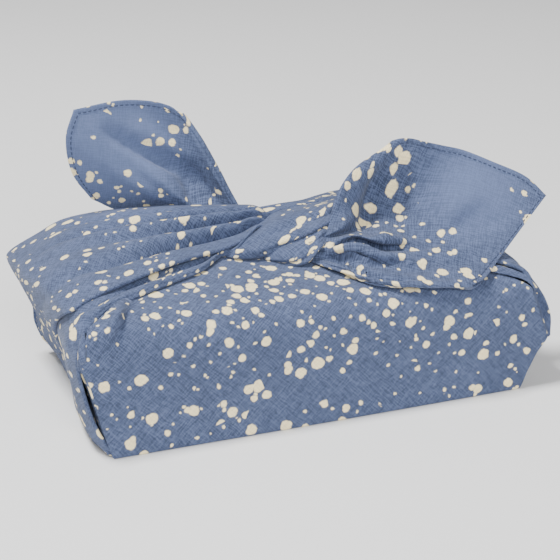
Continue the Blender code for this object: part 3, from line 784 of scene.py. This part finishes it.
def ear_marks(face, tip_row, start):
    """Flat coordinates of a free end, square to its two hems."""
    tip = face[tip_row, -1]
    first = unit(face[0, -1] - tip)
    last = unit(face[-1, -1] - tip)
    across = unit(np.cross(first, np.cross(first, last)))
    across = across if np.dot(across, last) > 0 else -across
    offset = face - tip
    return np.stack([start[0] + offset @ first, start[1] + offset @ across], axis=2)


def ear_patch(end, sizes):
    """Points and flat coordinates of a free end, and its line of stitching with normals."""
    hem = sizes.hem_width / MM
    face = ear_face(end.ribs, end.tip, hem)
    toward = np.array([-0.25, -0.9, 0.3])
    normal = facing(face, toward)
    flat = ear_marks(face, end.tip * RIB_STEPS, end.start)
    shares = np.linspace(0.0, 1.0, face.shape[0])
    runs = np.linspace(0.0, 1.0, face.shape[1])
    swell = ripple(shares * 1.7, 3, end.seed)[:, None] * np.sin(np.pi * runs)[None, :] * 0.5
    face = creased(face + normal * swell[:, :, None], normal, end.creases)
    normal = facing(face, toward)
    # The turned hem is a low bead, with a groove where it meets the single cloth.
    steps = np.linspace(0.0, 1.0, HEM_STEPS + 1)
    bead = 0.35 * smooth(steps, 0.0, 0.2) * (0.75 + 0.25 * np.cos(math.tau * (steps - 0.85)))
    bead[2:4] *= 0.45
    face[:, -HEM_STEPS - 1:] += normal[:, -HEM_STEPS - 1:] * bead[None, :, None]
    stitch_at = -1 - int(round(HEM_STEPS * sizes.stitch_inset / sizes.hem_width))
    line = face[:, stitch_at] + normal[:, stitch_at] * 0.10
    # Both sides curl under, less near the knot and with their inner layer short of the hem.
    curl = sizes.curl_radius / MM * (0.35 + 0.65 * smooth(runs, 0.0, 0.4))
    short = unit(face[:, -1] - face[:, -20]).mean(axis=0) * 4.0
    short = short * smooth(runs, 0.7, 1.0)[:, None]
    sideways = (item.transpose(1, 0, 2) for item in (face, flat, normal))
    face, flat = (item.transpose(1, 0, 2) for item in add_turned(*sideways, curl, short=short))
    extra = turned(face, flat, facing(face, toward), 0.42, hem * 0.9, False)
    face, flat = (np.concatenate(pair, axis=1) for pair in zip((face, flat), extra))
    return face, flat, line, normal[:, stitch_at]


def hidden_flap(flap, x, y):
    """A flat layer of cloth hidden under the gathers, in a box of half sizes x and y."""
    corners = ((-x * flap.first_x, y * flap.first_y), (x * flap.first_x, y * flap.first_y),
               (x * flap.second_x, y * flap.second_y), (-x * flap.second_x, y * flap.second_y))
    a, b, c, d = (np.array([*corner, flap.z]) for corner in corners)
    share = np.linspace(0.0, 1.0, 7)
    u, v = share[:, None, None], share[None, :, None]
    face = a * (1 - u) * (1 - v) + b * u * (1 - v) + c * u * v + d * (1 - u) * v
    wide = share[:, None] * np.linalg.norm(b - a)
    deep = share[None, :] * np.linalg.norm(d - a)
    return face, diagonal(wide, FLAP_START + deep)


def nearness(points, clusters):
    """How strongly each point of the cloth is in the clusters."""
    total = np.zeros(len(points))
    for c in clusters:
        away = np.linalg.norm(points - np.array([c.x, c.y, c.z]), axis=1)
        total += c.gain * np.exp(-((away / c.spread) ** 2))
    return total


def sheet_mesh(name, patches, side):
    """One mesh of several grids, with its flat coordinates, spatter gain and share of painted light
    through the free ends.
    """
    points, faces, marks = [], [], []
    for face, flat in patches:
        rows, columns = face.shape[:2]
        first = len(points)
        points += [tuple(p) for p in face.reshape(-1, 3) * MM]
        marks += [tuple(m) for m in flat.reshape(-1, 2) / side + 0.5]
        for row in range(rows - 1):
            for k in range(columns - 1):
                a = first + row * columns + k
                faces.append((a, a + 1, a + 1 + columns, a + columns))
    mesh = bpy.data.meshes.new(name)
    mesh.from_pydata(points, [], faces)
    layer = mesh.uv_layers.new(name="flat")
    corner = np.empty(len(mesh.loops), dtype=np.int32)
    mesh.loops.foreach_get("vertex_index", corner)
    layer.data.foreach_set("uv", np.array(marks, dtype=np.float32)[corner].ravel())
    for key, clusters in (("spatter_gain", CLUSTERS), ("painted_light_through", PAINTED_LIGHT_THROUGH)):
        values = mesh.attributes.new(key, "FLOAT", "POINT")
        values.data.foreach_set("value", nearness(np.array(points) / MM, clusters))
    work = bmesh.new()
    work.from_mesh(mesh)
    bmesh.ops.remove_doubles(work, verts=work.verts, dist=WELD * MM)
    for item in work.faces:
        item.smooth = True
    work.to_mesh(mesh)
    work.free()
    mesh.update()
    return mesh


def stitch_pieces(line, normal, pitch, width):
    """Short capsules laid end to end along a line, in rings of a share and a thickness."""
    sides, bulge = 6, 0.12
    length = pitch * 0.72
    rings = ((0.0, 0.25), (0.12, 0.8), (0.5, 1.0), (0.88, 0.8), (1.0, 0.25))
    run = distances(line)
    points, faces = [], []
    start = pitch * 0.8
    while start + length < run[-1] - pitch:
        tail, head = points_at(np.array([start, start + length]), run, line)
        up = unit(points_at(start, run, normal))
        side = unit(np.cross(unit(head - tail), up))
        first = len(points)
        for share, swell in rings:
            middle = tail + (head - tail) * share + up * bulge * math.sin(math.pi * share)
            for angle in np.linspace(0.0, math.tau, sides + 1)[:-1]:
                spoke = side * math.cos(angle) + up * 0.6 * math.sin(angle)
                points.append(tuple((middle + spoke * width / 2 * swell) * MM))
        for row in range(len(rings) - 1):
            for k in range(sides):
                a = first + row * sides + k
                b = first + row * sides + (k + 1) % sides
                faces.append((a, b, b + sides, a + sides))
        faces.append(tuple(first + k for k in reversed(range(sides))))
        faces.append(tuple(len(points) - sides + k for k in range(sides)))
        start += pitch
    return points, faces


class Value:
    """A number that varies over the surface, as the socket that gives it."""

    def __init__(self, finish, socket):
        self.finish = finish
        self.socket = socket

    def maths(self, operation, *values):
        node = self.finish.node("ShaderNodeMath", {"operation": operation}, values)
        return Value(self.finish, node.outputs[0])

    def __add__(self, other):
        return self.maths("ADD", self, other)

    def __radd__(self, other):
        return self.maths("ADD", other, self)

    def __sub__(self, other):
        return self.maths("SUBTRACT", self, other)

    def __rsub__(self, other):
        return self.maths("SUBTRACT", other, self)

    def __mul__(self, other):
        return self.maths("MULTIPLY", self, other)

    def __rmul__(self, other):
        return self.maths("MULTIPLY", other, self)

    def wave(self):
        return self.maths("SINE", self)

    def greatest(self, other):
        return self.maths("MAXIMUM", self, other)

    def above(self, other):
        return self.maths("GREATER_THAN", self, other)

    def rise(self, low, high):
        """0 below low, 1 above high and a soft rise between them."""
        node = self.finish.node("ShaderNodeMapRange",
                                {"interpolation_type": "SMOOTHSTEP", "clamp": True},
                                {"Value": self, "From Min": low, "From Max": high})
        return Value(self.finish, node.outputs["Result"])


class Finish:
    """A material in the making."""

    def __init__(self, name):
        self.material = bpy.data.materials.new(name)
        self.material.use_nodes = True
        self.tree = self.material.node_tree

    def node(self, kind, settings=None, inputs=()):
        """Add a node: its settings first, then the values or links of its sockets."""
        node = self.tree.nodes.new(kind)
        for key, value in (settings or {}).items():
            setattr(node, key, value)
        self.feed(node, inputs)
        return node

    def feed(self, node, inputs):
        """Link sockets to what varies, or set them to constants."""
        pairs = inputs.items() if isinstance(inputs, dict) else enumerate(inputs)
        for key, value in pairs:
            if isinstance(value, Value):
                value = value.socket
            if isinstance(value, bpy.types.NodeSocket):
                self.tree.links.new(value, node.inputs[key])
            else:
                node.inputs[key].default_value = value

    def surface(self, inputs):
        """Finish the material: what goes into its shader's sockets."""
        self.feed(self.tree.nodes["Principled BSDF"], inputs)
        return self.material

    def vector(self, operation, *inputs):
        return self.node("ShaderNodeVectorMath", {"operation": operation}, inputs).outputs[0]

    def mix(self, share, first, second):
        """A colour between two: sockets 0, 6 and 7 of a Mix node that is set to colour."""
        node = self.node("ShaderNodeMix", {"data_type": "RGBA"}, {0: share, 6: first, 7: second})
        return node.outputs[2]

    def noise(self, vector, scale, detail=2.0, roughness=0.5):
        """Flat noise, as a value and as a colour."""
        node = self.node("ShaderNodeTexNoise", {"noise_dimensions": "2D"},
                         {"Vector": vector, "Scale": scale, "Detail": detail,
                          "Roughness": roughness})
        return Value(self, node.outputs["Fac"]), node.outputs["Color"]


def shaded(colour, times=1.0, more=0.0):
    """A colour made lighter or darker, with its alpha."""
    return tuple(min(1.0, c * times + more) for c in colour) + (1.0,)


def blots(finish, place, spots, crowd):
    """A mask of one layer of round spots."""
    cells = finish.node("ShaderNodeTexVoronoi",
                        {"voronoi_dimensions": "2D", "feature": "F1"},
                        {"Vector": place, "Scale": 1.0 / spots.apart, "Randomness": 0.78})
    distance = Value(finish, cells.outputs["Distance"]) * spots.apart
    dice = finish.node("ShaderNodeSeparateColor", {}, {"Color": cells.outputs["Color"]})
    radius = spots.least + (spots.greatest - spots.least) * Value(finish, dice.outputs[0])
    there = (crowd * spots.share - Value(finish, dice.outputs[1])).above(0.0)
    return (radius * there + SPOT_EDGE * 0.5 - distance).rise(0.0, SPOT_EDGE) * there


def cloth_finish(colours, side):
    """Plain-woven blue cloth with slubs, a cream spatter and painted light on the free ends, side
    millimetres square.
    """
    finish = Finish("blue_spattered_cloth")
    marks = finish.node("ShaderNodeUVMap", {"uv_map": "flat"}).outputs[0]
    place = finish.vector("MULTIPLY", marks, (side, side, side))

    def painted(key):
        """A value that the mesh carries."""
        node = finish.node("ShaderNodeAttribute", {"attribute_name": key})
        return Value(finish, node.outputs["Fac"])

    def streaks(short, scale, detail):
        """Noise drawn out along the warp and along the weft."""
        return [finish.noise(finish.vector("MULTIPLY", place, stretch), scale, detail, 0.55)[0]
                for stretch in ((1.0, short, 1.0), (short, 1.0, 1.0))]

    def wandering(scale, reach):
        """An offset that moves each place up to reach millimetres aside."""
        _, colour = finish.noise(place, scale, 1.0)
        centred = finish.vector("SUBTRACT", colour, (0.5, 0.5, 0.5))
        return finish.vector("MULTIPLY", centred, (reach, reach, 0.0))

    thread_pitch, wander = 1.3, 14.0
    pitch = math.tau / thread_pitch
    axes = finish.node("ShaderNodeSeparateXYZ", {}, {"Vector": place}).outputs
    bends = streaks(0.16, 0.60, 1.0)
    ribs = [(Value(finish, axes[k]) * pitch + bends[k] * wander).wave() for k in range(2)]
    fine_warp, fine_weft = streaks(0.6, 4.0, 0.0)
    slub_warp, slub_weft = streaks(0.2, 2.8, 0.0)
    slub = slub_warp.rise(0.72, 0.84).greatest(slub_weft.rise(0.72, 0.84))
    threads = (ribs[0] + ribs[1]) * 0.8 + (fine_warp + fine_weft - 1.0) * 1.5
    cloud, _ = finish.noise(place, 0.035, 3.0, 0.55)
    patchy, _ = finish.noise(place, 0.026, 1.0)

    crowd = patchy.rise(0.36, 0.66) * 0.6 + 0.35 + painted("spatter_gain")
    spread = finish.vector("ADD", finish.vector("ADD", place, wandering(0.20, 1.8)),
                           wandering(0.8, 0.7))
    mask = 0.0
    for spots in SPATTER:
        moved = finish.vector("ADD", spread, (spots.shift, spots.shift * 0.6, 0.0))
        mask = blots(finish, moved, spots, crowd).greatest(mask)

    lit = (threads * 0.5 + 0.5).rise(0.0, 1.0)
    blue, cream = colours.blue, colours.cream
    cloth_blue = finish.mix(lit, shaded(blue, 0.62), shaded(blue, 1.38, 0.003))
    cloth_blue = finish.mix(slub * 0.3, cloth_blue, shaded(blue, 2.2, 0.02))
    cloth_blue = finish.mix((cloud - 0.5) * 0.6 + 0.15, cloth_blue, shaded(blue, 0.55))
    # Painted light: the free ends are made lighter where light would come through the hanging cloth.
    cloth_blue = finish.mix(painted("painted_light_through").rise(0.15, 1.5) * 0.65, cloth_blue, shaded(blue, 1.8))
    spot = finish.mix(lit, shaded(cream, 0.86), shaded(cream, 1.05))
    bump = finish.node("ShaderNodeBump", {}, {"Strength": 0.3, "Distance": 0.0002,
                                              "Height": threads * 0.5 + slub * 0.3})
    return finish.surface({
        "Base Color": finish.mix(mask, cloth_blue, spot),
        "Normal": bump.outputs[0],
        "Roughness": 0.9,
        "Specular IOR Level": 0.2,
        "Sheen Weight": 0.12,
        "Sheen Roughness": 0.5,
        "Sheen Tint": (0.8, 0.86, 1.0, 1.0),
    })


def thread_finish(colours):
    """Dark blue sewing thread with a fine twist."""
    finish = Finish("dark_sewing_thread")
    where = finish.node("ShaderNodeTexCoord").outputs["Object"]
    twist, _ = finish.noise(where, 1800.0, 1.0)
    colour = finish.mix(twist, shaded(colours.thread), shaded(colours.thread, 1.8))
    return finish.surface({"Base Color": colour, "Roughness": 0.7})


def floor_finish(colours):
    """Plain pale floor."""
    return Finish("studio_floor").surface({"Base Color": shaded(colours.floor), "Roughness": 0.9})


def cloth_patches(sizes):
    """Every fold of the cloth as a grid of points and its flat coordinates."""
    radius = sizes.fold_radius / MM
    patches = [body_patch(sizes)]
    for seed, fold in enumerate(FOLDS):
        taper = 1.0 - 0.5 * smooth(np.linspace(0.0, 1.0, fold.down), 0.75, 1.0)
        patches.append(add_turned(*strand(fold, seed), radius * fold.roll * taper,
                                  fold.far, sizes))
    patches += [ear_patch(end, sizes)[:2] for end in ENDS]
    margin = 8.0
    x, y = sizes.half_length / MM - margin, sizes.half_width / MM - margin
    return patches + [hidden_flap(flap, x, y) for flap in FLAPS]


def aimed(item, place, target):
    """Put a light or camera at its place and turn it to its target."""
    item.location = place
    turn = (Vector(target) - item.location).to_track_quat("-Z", "Y")
    item.rotation_euler = turn.to_euler()
    bpy.context.scene.collection.objects.link(item)
    return item


class WRAP_OT_cloth(bpy.types.Operator):
    """Add the folded cloth"""

    bl_idname = "wrap.cloth"
    bl_label = "Cloth"

    def execute(self, context):
        sizes = context.scene.wrap_sizes
        side = sizes.cloth_side / MM
        mesh = sheet_mesh("wrapping_cloth", cloth_patches(sizes), side)
        mesh.materials.append(cloth_finish(context.scene.wrap_colours, side))
        cloth = bpy.data.objects.new("wrapping_cloth", mesh)
        context.scene.collection.objects.link(cloth)
        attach(cloth, "root")
        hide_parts(NODE)
        return {"FINISHED"}


class WRAP_OT_stitches(bpy.types.Operator):
    bl_idname = "wrap.stitches"
    bl_label = "Hem stitching"

    def execute(self, context):
        sizes = context.scene.wrap_sizes
        points, faces = [], []
        for end in ENDS:
            line, normal = ear_patch(end, sizes)[2:]
            more, more_faces = stitch_pieces(line, normal, sizes.stitch_pitch / MM,
                                             sizes.thread_width / MM)
            faces += [tuple(k + len(points) for k in face) for face in more_faces]
            points += more
        mesh = bpy.data.meshes.new("hem_stitches")
        mesh.from_pydata(points, [], faces)
        mesh.shade_smooth()
        mesh.materials.append(thread_finish(context.scene.wrap_colours))
        stitches = bpy.data.objects.new("hem_stitches", mesh)
        context.scene.collection.objects.link(stitches)
        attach(stitches, "root")
        return {"FINISHED"}


class WRAP_OT_stage(bpy.types.Operator):
    """Add the floor, the lights and the camera"""

    bl_idname = "wrap.stage"
    bl_label = "Stage"

    def execute(self, context):
        scene = context.scene
        bpy.ops.mesh.primitive_plane_add(size=12.0, location=(0.0, 0.0, 0.0))
        floor = context.object
        floor.name = "studio_floor"
        floor.data.materials.append(floor_finish(scene.wrap_colours))
        for name, place, size, power in (
            ("key light", (-0.75, 0.05, 2.1), 0.5, 72.0),
            ("front light", (-0.35, -1.9, 1.0), 1.2, 42.0),
            ("back light", (0.3, 1.4, 1.7), 1.2, 2.0),
        ):
            lamp = bpy.data.lights.new(name, "AREA")
            lamp.shape = "DISK"
            lamp.size = size
            lamp.energy = power
            aimed(bpy.data.objects.new(name, lamp), place, (0.0, 0.0, 0.05))
        world = bpy.data.worlds.new("studio")
        world.use_nodes = True
        background = world.node_tree.nodes["Background"]
        background.inputs["Color"].default_value = (1.0, 1.0, 1.0, 1.0)
        background.inputs["Strength"].default_value = 0.32
        scene.world = world
        lens = bpy.data.cameras.new("camera")
        lens.sensor_width = 36.0
        lens.lens = 96.43
        scene.camera = aimed(bpy.data.objects.new("camera", lens),
                             (-0.27560, -0.70002, 0.33087), (0.002, 0.0, 0.0525))
        return {"FINISHED"}


class WRAP_PT_panel(bpy.types.Panel):
    """Sizes, colours and pieces of the wrap"""

    bl_idname = "WRAP_PT_panel"
    bl_label = "Furoshiki wrap"
    bl_space_type = "VIEW_3D"
    bl_region_type = "UI"
    bl_category = "Wrap"

    def draw(self, context):
        layout = self.layout
        for group in (context.scene.wrap_sizes, context.scene.wrap_colours):
            box = layout.box()
            for name in group.__annotations__:
                box.prop(group, name)
        for operator in (WRAP_OT_cloth, WRAP_OT_stitches, WRAP_OT_stage):
            layout.operator(operator.bl_idname)


CLASSES = (WrapSizes, WrapColours, WRAP_OT_cloth, WRAP_OT_stitches, WRAP_OT_stage,
           WRAP_PT_panel)


def register():
    for item in CLASSES:
        bpy.utils.register_class(item)
    bpy.types.Scene.wrap_sizes = bpy.props.PointerProperty(type=WrapSizes)
    bpy.types.Scene.wrap_colours = bpy.props.PointerProperty(type=WrapColours)


def unregister():
    del bpy.types.Scene.wrap_colours
    del bpy.types.Scene.wrap_sizes
    for item in reversed(CLASSES):
        bpy.utils.unregister_class(item)


def main():
    register()
    bpy.ops.wrap.cloth()
    bpy.ops.wrap.stitches()
    bpy.ops.wrap.stage()
    bpy.context.view_layer.update()


if __name__ == "__main__":
    main()
